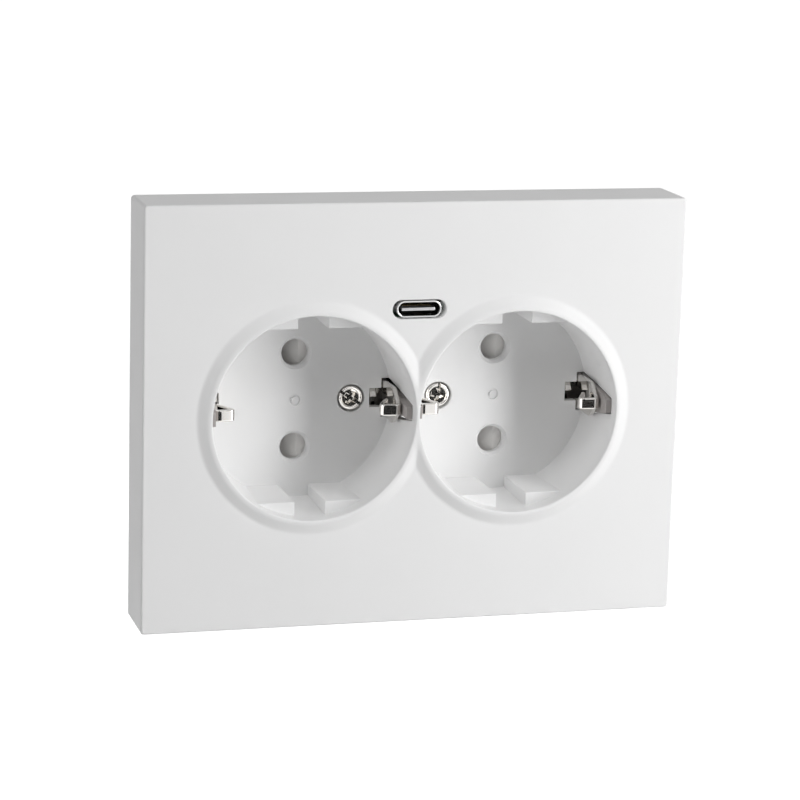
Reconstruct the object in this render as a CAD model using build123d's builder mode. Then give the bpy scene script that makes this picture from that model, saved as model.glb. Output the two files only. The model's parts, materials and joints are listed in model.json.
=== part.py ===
# Twin side-earth wall socket with a USB-C charging port, in millimetres.
# X runs to the right, Y into the wall and Z up. The origin is the middle of the
# fixing pattern, on the wall surface, and the user looks at the part along +Y.
from build123d import *
import os
from math import cos, pi, sin

os.makedirs("parts", exist_ok=True)

# Front cover
plate_width = 108.0
plate_height = 83.5
plate_depth = 13.6
plate_wall = 2.2
plate_front_wall = 2.4
plate_corner_radius = 0.7
plate_edge = 0.35
rib_thickness = 1.2
rib_height = 5.0

# Plug wells
well_rim_radius = 20.1
well_web = 0.8
well_depth = 17.35
well_draft = 0.5
well_wall = 1.6
floor_thickness = 2.0
collar_height = 1.15
collar_width = 2.7
collar_crest = 0.5
collar_facets = 3
guide_depth = 3.0
guide_slot_width = 6.05
guide_setback = 3.3
guide_root = 0.5
floor_mark_radius = 1.15
floor_mark_core = 0.65
floor_mark_depth = 0.3

# Plug pins
pin_spacing = 19.0
pin_length = 19.0
pin_end_gap = 1.05
pin_hole_diameter = 6.0
pin_hole_chamfer = 0.35

# Shutters
shutter_travel = 6.6
shutter_depth = 3.55
shutter_ramp_end = 0.5
shutter_reach = 4.0
shutter_ridge = 1.0
shutter_back = 4.2
shutter_block_height = 7.2
shutter_spine_width = 4.6
shutter_spine_depth = 1.2
shutter_gap = 0.25
shutter_side_gap = 0.2
cage_back_wall = 1.3
cage_wall = 1.3
cage_window = 6.6
spring_solid_length = 2.6
spring_radius = 1.1
spring_wire = 0.36
spring_turns = 4
spring_turn_sides = 6
spring_end_gap = 0.1

# Earth clips
clip_thickness = 0.7
clip_wall_gap = 1.25
clip_fold = 3.7
clip_tip_fold = 1.5
clip_nose_reach = 11.6
clip_tip_depth = 0.8
clip_nose_radius = 1.6
clip_root = 1.2
clip_finger_width = 2.3
clip_leg_width = 7.2
clip_shoulder_reach = 10.2
clip_shoulder_radius = 3.2
clip_strip_width = 6.4
earth_slot_lead = 1.25
earth_slot_side_gap = 0.8
earth_slot_gap = 0.3
post_gap = 0.25
post_depth = 1.85
post_reach = 14.9
post_root_width = 8.4
post_middle_width = 5.7
post_tip_width = 3.2
post_middle_reach = 7.8
post_clearance = 0.2
centre_post_gap = 0.4

# Cover screws
cover_screw_offset = 11.5
cover_screw_head_diameter = 4.9
cover_screw_head_height = 1.7
cover_screw_shank_diameter = 2.9
cover_screw_length = 11.0
cover_screw_boss = 6.2
cover_screw_recess_gap = 0.35
screw_hole_clearance = 0.2
recess_span = 0.67
recess_blade = 1.0
recess_depth = 1.1

# Support frame on the wall
frame_thickness = 1.2
frame_margin = 1.5
frame_corner_radius = 4.0
frame_well_gap = 0.4
frame_opening_radius = 2.0
fixing_spacing = 60.0
fixing_slot_width = 4.2
fixing_slot_length = 8.0
lug_width = 8.0
lug_z = 14.0
lug_length = 22.0
lug_window_width = 5.0
lug_window_length = 3.0
lug_end = 2.5
lug_gap = 0.15
nib_depth = 0.9
pillar_width = 6.0
pillar_inset_x = 4.0
pillar_inset_z = 3.5

# Contact base
base_side_wall = 1.0
base_bottom_wall = 2.25
base_corner_radius = 3.0
base_back_wall = 1.6
channel_gap = 1.0
groove_gap = 0.2
thread_gap = 0.05

# Contact bars and terminals
bar_thickness = 0.7
bar_width = 6.0
fork_gap = 4.4
fork_width = 5.2
fork_lead = 3.0
fork_flare = 0.8
fork_mouth = 1.8
fork_bend = 1.2
tail_width = 5.0
tongue_end = 1.0
terminal_x = 31.0
terminal_z = 14.5
clamp_width = 7.4
clamp_height = 8.6
clamp_depth = 5.0
clamp_wall = 1.0
clamp_setback = 8.0
clamp_gap = 0.5
clamp_spring_thickness = 0.35
clamp_spring_width = 4.8
clamp_spring_inset = 1.0
clamp_spring_bend = 0.7
clamp_spring_gap = 0.3
wire_hole = 4.0
supply_tab_x = 26.0
supply_tab_width = 3.0
supply_tab_gap = 0.3
supply_tab_tip = 0.6
earth_bar_thickness = 1.0
earth_bar_end = 1.35
earth_bar_width = 6.4

# Charging port
usb_offset = 0.7
usb_side_gap = 0.7
usb_top_gap = 0.22
usb_aperture_chamfer = 0.25
usb_shell_width = 8.94
usb_shell_height = 3.26
usb_shell_wall = 0.3
usb_shell_length = 9.3
usb_setback = 0.3
usb_tongue_width = 6.7
usb_tongue_thickness = 0.7
usb_tongue_setback = 1.2
usb_insulator_length = 3.0
usb_insulator_gap = 0.05
usb_board_width = 15.0
usb_board_thickness = 1.2
usb_board_setback = 2.9

# Charger
charger_board_width = 62.0
charger_board_thickness = 1.6
charger_board_gap = 1.5
charger_board_height = 33.5
charger_board_edge = 2.6
standoff_width = 4.0
standoff_spacing = 32.0
standoff_inset = 4.0
rear_cover_wall = 1.5
rear_cover_gap = 0.4
rear_cover_radius = 2.5
rear_edge = 0.8
rear_rim_thickness = 1.2
rear_rim_height = 3.0
rear_rim_gap = 0.1
core_width = 17.0
core_height = 15.0
core_depth = 5.0
core_limb = 4.0
core_yoke = 2.5
core_x = -12.0
core_z = 5.0
coil_gap = 0.15
coil_swell = 1.6
coil_edge_radius = 1.2
capacitor_height = 8.5
capacitor_width = 7.0
capacitor_length = 13.0
capacitor_pitch = 8.5
capacitor_x = 19.0
capacitor_z = 9.0
choke_width = 8.0
choke_length = 7.0
choke_height = 5.0
choke_x = 4.5
choke_z = 15.0
chip_width = 6.0
chip_length = 5.0
chip_height = 1.6
chip_x = 6.0
chip_pitch = 9.0
chip_z = -3.0

# How near an edge lies to the plane it is picked from
match = 0.01

# Depths along Y, worked out from the sizes above
crest_y = -plate_depth - collar_height
guide_front_y = crest_y + guide_setback
floor_front_y = crest_y + well_depth
floor_back_y = floor_front_y + floor_thickness
shutter_front_y = floor_back_y + shutter_gap
shutter_back_y = shutter_front_y + shutter_depth
cage_plate_y = shutter_back_y + shutter_gap
base_front_y = cage_plate_y + cage_back_wall
strip_back_y = base_front_y + clip_thickness
earth_bar_back_y = strip_back_y + earth_bar_thickness
clip_nose_y = floor_front_y - clip_nose_reach
post_tip_y = floor_front_y - post_reach + post_clearance
clamp_y = base_front_y + clamp_setback
cavity_back_y = floor_front_y + pin_length + pin_end_gap + bar_thickness
base_back_y = cavity_back_y + base_back_wall
base_depth = base_back_y - base_front_y
board_front_y = base_back_y + charger_board_gap
board_back_y = board_front_y + charger_board_thickness
core_front_y = board_back_y + coil_swell + coil_gap
coil_back_y = core_front_y + core_depth + coil_gap + coil_swell
rear_inner_y = max(coil_back_y, board_back_y + capacitor_height) + rear_cover_gap
rear_back_y = rear_inner_y + rear_cover_wall
usb_front_y = usb_setback - plate_depth
usb_back_y = usb_front_y + usb_shell_length

# Places across the plate
well_spacing = 2 * well_rim_radius + well_web
wells = {"left": -well_spacing / 2, "right": well_spacing / 2}
well_floor_radius = well_rim_radius - well_draft
well_outer_radius = well_rim_radius + well_wall
guide_flat_height = well_rim_radius - guide_depth
pin_z = pin_spacing / 2
clip_outer_offset = well_floor_radius - clip_wall_gap
clip_nose_offset = clip_outer_offset - clip_fold
clip_tip_offset = clip_outer_offset - clip_tip_fold
earth_slot_inner = clip_tip_offset - clip_thickness / 2 - earth_slot_lead
post_front = clip_outer_offset + clip_thickness / 2 + post_gap
cover_screw_x = well_spacing / 2 - cover_screw_offset
screw_slot = cover_screw_shank_diameter + 2 * screw_hole_clearance
earth_bar_length = 2 * (cover_screw_x + screw_slot / 2 + earth_bar_end)
usb_z = well_rim_radius + usb_offset
usb_aperture_width = usb_shell_width + 2 * usb_side_gap
usb_aperture_height = usb_shell_height + 2 * usb_top_gap
usb_board_top = usb_z - usb_shell_height / 2
usb_board_bottom = usb_board_top - usb_board_thickness
charger_board_top = usb_board_top + charger_board_edge
charger_board_middle = charger_board_top - charger_board_height / 2

# Places in the contact base
tongue_z = -terminal_z
clamp_top = tongue_z + bar_thickness / 2 + clamp_wall
clamp_bottom = clamp_top - clamp_height
pocket_top = clamp_top + clamp_gap
pocket_bottom = clamp_bottom - clamp_gap
base_bottom = pocket_bottom - base_bottom_wall
base_height = -2 * base_bottom
base_width = well_spacing + 2 * (post_front + post_depth + base_side_wall)
pillar_x = base_width / 2 - pillar_inset_x
pillar_z = base_height / 2 - pillar_inset_z
fork_end = well_spacing / 2 + fork_gap / 2 + bar_thickness
tail_end = terminal_x + tail_width / 2
wire_z = tongue_z - (bar_thickness + wire_hole) / 2 - clamp_gap / 2
rear_wall_gap = rear_cover_gap + rear_rim_thickness + rear_rim_gap
rear_inner_width = charger_board_width + 2 * rear_wall_gap
rear_inner_height = charger_board_height + 2 * rear_wall_gap

# Points that several pieces share, in X and Z
cover_screw_places = [(-cover_screw_x, 0), (cover_screw_x, 0)]
terminals = (-terminal_x, 0, terminal_x)
supply_tab_places = [(-supply_tab_x, pin_z), (supply_tab_x, -pin_z)]


def at_depth(y):
    """Plane across the part at depth y, with its normal towards the user."""
    return Plane.XZ.offset(-y)


def well_axis(x):
    return Axis((x, 0, 0), (0, 1, 0))


def save(piece, name):
    piece.part.label = name
    export_step(piece.part, f"parts/{name}.step")


def from_behind(y):
    """Plane across the part at depth y, with its normal into the wall."""
    return Plane((0, y, 0), x_dir=(-1, 0, 0), z_dir=(0, 1, 0))


def save_screws(name, seat, places, head_diameter, head_height, shank_diameter, length):
    """Screws with round heads in front of the seat plane and shanks behind it."""
    with BuildPart() as screws:
        with BuildSketch(seat):
            with Locations(*places):
                Circle(head_diameter / 2)
        extrude(amount=head_height)
        with BuildSketch(seat):
            with Locations(*places):
                Circle(shank_diameter / 2)
        extrude(amount=-length)
        with BuildSketch(seat.offset(head_height)):
            with Locations(*places):
                Rectangle(recess_span * head_diameter, recess_blade)
                Rectangle(recess_blade, recess_span * head_diameter)
        extrude(amount=-recess_depth, mode=Mode.SUBTRACT)
    save(screws, name)


def collar_point(step):
    """Radius and depth on the collar's elliptical shoulder, from the plate up to the crest."""
    turn = pi / 2 * step / collar_facets
    radius = well_rim_radius + collar_crest + (collar_width - collar_crest) * cos(turn)
    return (radius, -plate_depth - collar_height * sin(turn))


def post_outline(root, middle, tip, front, back):
    """Leaf-shaped outline of a clip post in Y and Z, wide at the back and narrow in front."""
    middle_y = floor_front_y - post_middle_reach
    with BuildSketch() as outline:
        with BuildLine():
            upper = ThreePointArc((back, root / 2), (middle_y, middle / 2), (front, tip / 2))
            Line(upper @ 1, (front, -tip / 2))
            lower = ThreePointArc((front, -tip / 2), (middle_y, -middle / 2), (back, -root / 2))
            Line(lower @ 1, upper @ 0)
        make_face()
    return outline.sketch


# Front cover: a shallow box, two drums with rounded collars, and the wells bored into them
with BuildPart() as front_cover:
    with BuildSketch(at_depth(0)):
        RectangleRounded(plate_width, plate_height, plate_corner_radius)
    extrude(amount=plate_depth)
    chamfer(front_cover.faces().sort_by(Axis.Y)[0].edges(), plate_edge)
    with BuildSketch(at_depth(0)):
        Rectangle(plate_width - 2 * plate_wall, plate_height - 2 * plate_wall)
    extrude(amount=plate_depth - plate_front_wall, mode=Mode.SUBTRACT)

    # Stiffening ribs from the drums to the side walls
    with BuildSketch(at_depth(plate_front_wall - plate_depth)):
        for x in wells.values():
            with Locations((x, 0)):
                Rectangle(rib_thickness, plate_height - 2 * plate_wall)
        Rectangle(plate_width - 2 * plate_wall, rib_thickness)
    extrude(amount=-rib_height)

    # Drums with an elliptical shoulder up to the collar's crest
    for x in wells.values():
        with BuildSketch(Plane((x, 0, 0))):
            with BuildLine():
                Polyline(
                    *[collar_point(step) for step in range(collar_facets + 1)],
                    (0, crest_y),
                    (0, floor_back_y),
                    (well_outer_radius, floor_back_y),
                    (well_outer_radius, plate_front_wall - plate_depth),
                    close=True,
                )
            make_face()
        revolve(axis=well_axis(x))

    # Bosses for the cover screws, down to the earth brackets
    with BuildSketch(at_depth(floor_back_y)):
        with Locations(*cover_screw_places):
            Rectangle(cover_screw_boss, cover_screw_boss)
    extrude(amount=floor_back_y - base_front_y)

    # Wells
    for x in wells.values():
        with BuildSketch(Plane((x, 0, 0))):
            with BuildLine():
                Polyline(
                    (well_rim_radius, crest_y),
                    (well_floor_radius, floor_front_y),
                    (0, floor_front_y),
                    (0, crest_y),
                    close=True,
                )
            make_face()
        revolve(axis=well_axis(x), mode=Mode.SUBTRACT)

    # Guide blocks at the top and bottom of each well, with a slot between them
    for x in wells.values():
        with BuildSketch(at_depth(floor_front_y)):
            with Locations((x, 0)):
                Circle(well_rim_radius + guide_root)
                Rectangle(3 * well_rim_radius, 2 * guide_flat_height, mode=Mode.SUBTRACT)
                Rectangle(guide_slot_width, 3 * well_rim_radius, mode=Mode.SUBTRACT)
        extrude(amount=floor_front_y - guide_front_y)

    # Round mark in the middle of each floor
    with BuildSketch(at_depth(floor_front_y)):
        with GridLocations(well_spacing, 0, 2, 1):
            Circle(floor_mark_radius)
            Circle(floor_mark_core, mode=Mode.SUBTRACT)
    extrude(amount=-floor_mark_depth, mode=Mode.SUBTRACT)

    # Pin holes with a chamfered edge
    with BuildSketch(at_depth(floor_back_y)):
        with GridLocations(well_spacing, pin_spacing, 2, 2):
            Circle(pin_hole_diameter / 2)
    extrude(amount=floor_thickness, mode=Mode.SUBTRACT)
    pin_edges = front_cover.edges().filter_by(GeomType.CIRCLE).filter_by_position(
        Axis.Y, floor_front_y - match, floor_front_y + match
    )
    pin_edges = [edge for edge in pin_edges if floor_mark_radius < edge.radius < pin_hole_diameter]
    chamfer(pin_edges, pin_hole_chamfer)

    # Stepped holes for the cover screws
    with BuildSketch(at_depth(floor_back_y)):
        with Locations(*cover_screw_places):
            Circle(cover_screw_head_diameter / 2 + cover_screw_recess_gap)
    extrude(amount=floor_thickness, mode=Mode.SUBTRACT)
    with BuildSketch(at_depth(base_front_y)):
        with Locations(*cover_screw_places):
            Circle(cover_screw_shank_diameter / 2 + screw_hole_clearance)
    extrude(amount=base_front_y - floor_back_y, mode=Mode.SUBTRACT)

    # Slots for the earth clips in the floor, and for their posts in the wall
    leg_slot_inner = clip_outer_offset - clip_thickness / 2 - earth_slot_gap
    leg_slot_outer = post_front + post_depth + post_clearance
    for x in wells.values():
        for side in (-1, 1):
            with BuildSketch(at_depth(floor_back_y)):
                with Locations((x + side * (earth_slot_inner + leg_slot_inner) / 2, 0)):
                    Rectangle(leg_slot_inner - earth_slot_inner, clip_finger_width + 2 * earth_slot_side_gap)
                with Locations((x + side * (leg_slot_inner + leg_slot_outer) / 2, 0)):
                    Rectangle(leg_slot_outer - leg_slot_inner, clip_leg_width + 2 * earth_slot_gap)
            extrude(amount=floor_thickness, mode=Mode.SUBTRACT)
            with BuildSketch(Plane.YZ.offset(x + side * leg_slot_inner)):
                add(
                    post_outline(
                        post_root_width,
                        post_middle_width,
                        post_tip_width,
                        floor_front_y - post_reach,
                        floor_back_y,
                    )
                )
            extrude(amount=side * (well_outer_radius - leg_slot_inner), mode=Mode.SUBTRACT)

    # Aperture of the charging port
    with BuildSketch(at_depth(plate_front_wall - plate_depth)):
        with Locations((0, usb_z)):
            SlotOverall(usb_aperture_width, usb_aperture_height)
    extrude(amount=plate_front_wall, mode=Mode.SUBTRACT)
    plate_edges = front_cover.edges().filter_by_position(Axis.Y, -plate_depth - match, -plate_depth + match)
    port_edges = plate_edges.filter_by_position(Axis.X, -usb_aperture_width, usb_aperture_width)
    port_edges = port_edges.filter_by_position(
        Axis.Z, usb_z - usb_aperture_height, usb_z + usb_aperture_height
    )
    chamfer(port_edges, usb_aperture_chamfer)
save(front_cover, "front_cover")

# Support frame: flat steel ring behind the cover, with the two fixing slots and four lugs
with BuildPart() as support_frame:
    frame_width = plate_width - 2 * (plate_wall + frame_margin)
    frame_height = plate_height - 2 * (plate_wall + frame_margin)
    snout_top = usb_z + usb_shell_height / 2 + frame_margin
    snout_width = usb_board_width + 2 * frame_margin
    with BuildSketch(at_depth(0)):
        RectangleRounded(frame_width, frame_height, frame_corner_radius)
        RectangleRounded(
            well_spacing + 2 * (well_outer_radius + frame_well_gap),
            2 * (well_outer_radius + frame_well_gap),
            frame_opening_radius,
            mode=Mode.SUBTRACT,
        )
        with Locations((0, snout_top)):
            Rectangle(snout_width, snout_top, align=(Align.CENTER, Align.MAX), mode=Mode.SUBTRACT)
        with GridLocations(0, fixing_spacing, 1, 2):
            SlotOverall(fixing_slot_length, fixing_slot_width, rotation=90, mode=Mode.SUBTRACT)
    extrude(amount=frame_thickness)

    # Lugs bent back along the sides of the base, with a window for the base's nib
    lug_y = lug_length - lug_end - lug_window_length / 2
    for side in (-1, 1):
        with BuildSketch(Plane.YZ.offset(side * (base_width / 2 + lug_gap))):
            with Locations((0, -lug_z), (0, lug_z)):
                with Locations((-frame_thickness, 0)):
                    Rectangle(lug_length + frame_thickness, lug_width, align=(Align.MIN, Align.CENTER))
                with Locations((lug_y, 0)):
                    Rectangle(lug_window_length, lug_window_width, mode=Mode.SUBTRACT)
        extrude(amount=side * frame_thickness)
save(support_frame, "support_frame")

# Contact base: a block behind the wells, with pillars to the frame, posts behind the
# earth clips, and open channels for the bars and clamps
channel_height = bar_width + 2 * channel_gap
channel_end = fork_end + fork_flare + channel_gap
channel_start = tail_end + channel_gap
pocket_width = clamp_width + 2 * clamp_gap
pocket_height = pocket_top - pocket_bottom
standoff_places = [
    (x, z)
    for x in (-standoff_spacing / 2, standoff_spacing / 2)
    for z in (charger_board_top - standoff_inset, charger_board_top - charger_board_height + standoff_inset)
]
with BuildPart() as mechanism_base:
    with BuildSketch(at_depth(base_back_y)):
        RectangleRounded(base_width, base_height, base_corner_radius)
    extrude(amount=base_depth)
    with BuildSketch(at_depth(base_front_y)):
        with GridLocations(2 * pillar_x, 2 * pillar_z, 2, 2):
            Rectangle(pillar_width, pillar_width)
    extrude(amount=base_front_y)
    with BuildSketch(Plane.YZ.offset(-base_width / 2 - nib_depth)):
        with Locations((lug_y, -lug_z), (lug_y, lug_z)):
            Rectangle(lug_window_length - 2 * lug_gap, lug_window_width - 2 * lug_gap)
    extrude(amount=base_width + 2 * nib_depth)
    with BuildSketch(at_depth(base_back_y)):
        with Locations(*standoff_places):
            Rectangle(standoff_width, standoff_width)
    extrude(amount=-charger_board_gap)
    with BuildSketch(at_depth(base_back_y)):
        with Locations((0, charger_board_middle)):
            Rectangle(rear_inner_width - 2 * rear_rim_gap, rear_inner_height - 2 * rear_rim_gap)
            Rectangle(
                rear_inner_width - 2 * (rear_rim_gap + rear_rim_thickness),
                rear_inner_height - 2 * (rear_rim_gap + rear_rim_thickness),
                mode=Mode.SUBTRACT,
            )
    extrude(amount=-rear_rim_height)

    # Channels of the bars and their tails, and the pockets of the wire clamps
    with BuildSketch(at_depth(cavity_back_y)):
        for level in (-1, 1):
            with Locations((level * (channel_end - channel_start) / 2, level * pin_z)):
                Rectangle(channel_end + channel_start, channel_height)
            with Locations((-level * terminal_x, level * pin_z)):
                Rectangle(
                    tail_width + 2 * channel_gap,
                    level * pin_z - pocket_bottom,
                    align=(Align.CENTER, Align.MAX),
                )
        with Locations(*[(x, pocket_top) for x in terminals]):
            Rectangle(pocket_width, pocket_height, align=(Align.CENTER, Align.MAX))
    extrude(amount=base_depth, mode=Mode.SUBTRACT)

    # Grooves of the earth brackets and of the earth bar with its tail
    bracket_length = 2 * clip_outer_offset + clip_thickness
    with BuildSketch(at_depth(strip_back_y)):
        with GridLocations(well_spacing, 0, 2, 1):
            Rectangle(bracket_length + 2 * groove_gap, clip_leg_width + 2 * groove_gap)
    extrude(amount=clip_thickness, mode=Mode.SUBTRACT)
    with BuildSketch(at_depth(earth_bar_back_y)):
        Rectangle(earth_bar_length + 2 * groove_gap, earth_bar_width + 2 * groove_gap)
        Rectangle(tail_width + 2 * groove_gap, -pocket_top, align=(Align.CENTER, Align.MAX))
    extrude(amount=earth_bar_back_y - base_front_y, mode=Mode.SUBTRACT)

    # Posts: tapered ones behind the outer clips, and one between the two inner clips
    outer_post_x = well_spacing / 2 + post_front
    for side in (-1, 1):
        with BuildSketch(Plane.YZ.offset(side * outer_post_x)):
            add(
                post_outline(
                    post_root_width - 2 * post_clearance,
                    post_middle_width - 2 * post_clearance,
                    post_tip_width - 2 * post_clearance,
                    post_tip_y,
                    strip_back_y,
                )
            )
        extrude(amount=side * post_depth)
    with BuildSketch(at_depth(earth_bar_back_y)):
        Rectangle(2 * (well_spacing / 2 - post_front), post_tip_width - 2 * centre_post_gap)
    extrude(amount=earth_bar_back_y - post_tip_y)

    # Holes for screws, wires and supply tabs, and the notch of the port's board
    with BuildSketch(at_depth(base_front_y)):
        with Locations(*cover_screw_places):
            Rectangle(screw_slot, screw_slot)
    extrude(amount=-cover_screw_length, mode=Mode.SUBTRACT)
    with BuildSketch(at_depth(base_back_y)):
        with Locations(*[(x, wire_z) for x in terminals]):
            Rectangle(wire_hole, wire_hole)
        with Locations(*supply_tab_places):
            Rectangle(supply_tab_width + 2 * supply_tab_gap, bar_thickness + 2 * supply_tab_gap)
    extrude(amount=base_back_wall, mode=Mode.SUBTRACT)
    with BuildSketch(at_depth(base_back_y)):
        with Locations((0, usb_board_bottom)):
            Rectangle(
                usb_board_width + 2 * groove_gap,
                base_height,
                align=(Align.CENTER, Align.MIN),
            )
    extrude(amount=base_depth, mode=Mode.SUBTRACT)
save(mechanism_base, "mechanism_base")

# Shutters with their cages and return springs, one set behind each well
block_z = shutter_block_height / 2
cage_left = shutter_reach + shutter_side_gap
spring_length = shutter_travel + spring_solid_length
cage_right = shutter_back + spring_length
cage_half_height = pin_z + block_z + shutter_side_gap
cage_notch_x = cover_screw_offset - cover_screw_boss / 2 - shutter_side_gap
cage_notch_z = pin_z - block_z - shutter_side_gap
spring_y = (shutter_front_y + shutter_back_y) / 2
for side, well_x in wells.items():
    with BuildPart() as shutter:
        with BuildSketch(Plane.XY.offset(pin_z - block_z)):
            with BuildLine():
                Polyline(
                    (well_x - shutter_reach, shutter_back_y),
                    (well_x - shutter_reach, shutter_back_y - shutter_ramp_end),
                    (well_x + shutter_ridge, shutter_front_y),
                    (well_x + shutter_back, shutter_front_y),
                    (well_x + shutter_back, shutter_back_y),
                    close=True,
                )
            make_face()
        extrude(amount=shutter_block_height)
        mirror(about=Plane.XY)
        with BuildSketch(at_depth(shutter_back_y)):
            with Locations((well_x - shutter_reach, 0)):
                Rectangle(shutter_spine_width, pin_spacing, align=(Align.MIN, Align.CENTER))
        extrude(amount=shutter_spine_depth)
    save(shutter, f"shutter_{side}")

    with BuildPart() as shutter_cage:
        with BuildSketch(at_depth(base_front_y)):
            with Locations((well_x - cage_left - cage_wall, 0)):
                Rectangle(
                    cage_left + cage_right + 2 * cage_wall,
                    2 * (cage_half_height + cage_wall),
                    align=(Align.MIN, Align.CENTER),
                )
            with Locations((well_x + cage_notch_x, 0)):
                Rectangle(
                    cage_right + cage_wall,
                    2 * (cage_notch_z - cage_wall),
                    align=(Align.MIN, Align.CENTER),
                    mode=Mode.SUBTRACT,
                )
            with Locations((well_x, -pin_z), (well_x, pin_z)):
                Rectangle(cage_window, cage_window, mode=Mode.SUBTRACT)
        extrude(amount=base_front_y - floor_back_y)
        with BuildSketch(at_depth(cage_plate_y)):
            with Locations((well_x - cage_left, 0)):
                Rectangle(
                    cage_left + cage_notch_x,
                    2 * cage_half_height,
                    align=(Align.MIN, Align.CENTER),
                )
            for level in (-1, 1):
                with Locations((well_x - cage_left, level * pin_z)):
                    Rectangle(
                        cage_left + cage_right,
                        shutter_block_height + 2 * shutter_side_gap,
                        align=(Align.MIN, Align.CENTER),
                    )
        extrude(amount=cage_plate_y - floor_back_y, mode=Mode.SUBTRACT)
    save(shutter_cage, f"shutter_cage_{side}")

    coil_length = spring_length - spring_wire - 2 * spring_end_gap
    coil_start = well_x + shutter_back + spring_wire / 2 + spring_end_gap
    coil_steps = spring_turns * spring_turn_sides
    with BuildPart() as shutter_springs:
        for level in (-1, 1):
            coil_points = [
                (
                    coil_start + coil_length * step / coil_steps,
                    spring_y + spring_radius * cos(2 * pi * step / spring_turn_sides),
                    level * pin_z + spring_radius * sin(2 * pi * step / spring_turn_sides),
                )
                for step in range(coil_steps + 1)
            ]
            with BuildLine() as coil_path:
                Polyline(*coil_points)
            with BuildSketch(Plane(coil_path.line @ 0, z_dir=coil_path.line % 0)):
                Rectangle(spring_wire, spring_wire)
            sweep(path=coil_path.line, transition=Transition.RIGHT)
    save(shutter_springs, f"shutter_springs_{side}")

# Earth brackets: a spring strip across each well that ends in a folded clip on both sides
finger_z = clip_finger_width / 2
leg_z = clip_leg_width / 2
strip_y = base_front_y + clip_thickness / 2
shoulder_y = floor_front_y - clip_shoulder_reach
for side, well_x in wells.items():
    with BuildPart() as earth_bracket:
        with BuildSketch(Plane((well_x, 0, 0))):
            for end in (-1, 1):
                with BuildLine():
                    FilletPolyline(
                        (end * clip_tip_offset, floor_front_y + clip_tip_depth),
                        (end * clip_nose_offset, clip_nose_y),
                        (end * clip_outer_offset, clip_nose_y),
                        (end * clip_outer_offset, strip_y),
                        radius=clip_nose_radius,
                    )
                trace(line_width=clip_thickness)
            with Locations((0, strip_y)):
                Rectangle(2 * clip_outer_offset + clip_thickness, clip_thickness)
        extrude(amount=leg_z, both=True)

        # The strip between the legs is narrower, and the folded fingers narrower still
        leg_face = clip_outer_offset - clip_thickness
        with BuildSketch(Plane.XY.offset(leg_z)):
            with Locations((well_x, base_front_y - clip_root)):
                Rectangle(2 * (leg_face - clip_root), base_depth, align=(Align.CENTER, Align.MIN))
        extrude(amount=clip_strip_width / 2 - leg_z, mode=Mode.SUBTRACT)
        with BuildSketch(Plane.XY.offset(leg_z)):
            with Locations((well_x, floor_back_y)):
                Rectangle(2 * leg_face, 2 * clip_nose_reach, align=(Align.CENTER, Align.MAX))
        extrude(amount=finger_z - leg_z, mode=Mode.SUBTRACT)
        with BuildSketch(Plane.YZ.offset(well_x)):
            with BuildLine():
                Polyline(
                    (shoulder_y, finger_z),
                    (shoulder_y - clip_nose_reach, finger_z),
                    (shoulder_y - clip_nose_reach, 2 * leg_z),
                    (shoulder_y + clip_shoulder_radius, 2 * leg_z),
                    (shoulder_y + clip_shoulder_radius, leg_z),
                )
                RadiusArc(
                    (shoulder_y + clip_shoulder_radius, leg_z),
                    (shoulder_y, finger_z),
                    -clip_shoulder_radius,
                )
            make_face()
        extrude(amount=2 * clip_outer_offset, both=True, mode=Mode.SUBTRACT)
        split(bisect_by=Plane.XY, keep=Keep.TOP)
        mirror(about=Plane.XY)
        with BuildSketch(at_depth(strip_back_y)):
            with Locations(*cover_screw_places):
                Circle(cover_screw_shank_diameter / 2 + thread_gap)
        extrude(amount=clip_thickness, mode=Mode.SUBTRACT)
    save(earth_bracket, f"earth_bracket_{side}")

# Earth bar, welded to the backs of both brackets, with its tail down to the earth terminal
with BuildPart() as earth_bar:
    with BuildSketch(at_depth(earth_bar_back_y)):
        Rectangle(earth_bar_length, earth_bar_width)
        Rectangle(tail_width, bar_thickness / 2 - tongue_z, align=(Align.CENTER, Align.MAX))
        Rectangle(
            2 * (well_spacing / 2 - post_front + groove_gap),
            post_tip_width - 2 * (centre_post_gap - groove_gap),
            mode=Mode.SUBTRACT,
        )
        with Locations(*cover_screw_places):
            Rectangle(screw_slot, screw_slot, mode=Mode.SUBTRACT)
    extrude(amount=earth_bar_thickness)
    with BuildSketch(Plane.XY.offset(tongue_z - bar_thickness / 2)):
        with Locations((0, strip_back_y)):
            Rectangle(
                tail_width,
                clamp_y + clamp_depth / 2 + tongue_end - strip_back_y,
                align=(Align.CENTER, Align.MIN),
            )
    extrude(amount=bar_thickness)
save(earth_bar, "earth_bar")

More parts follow.
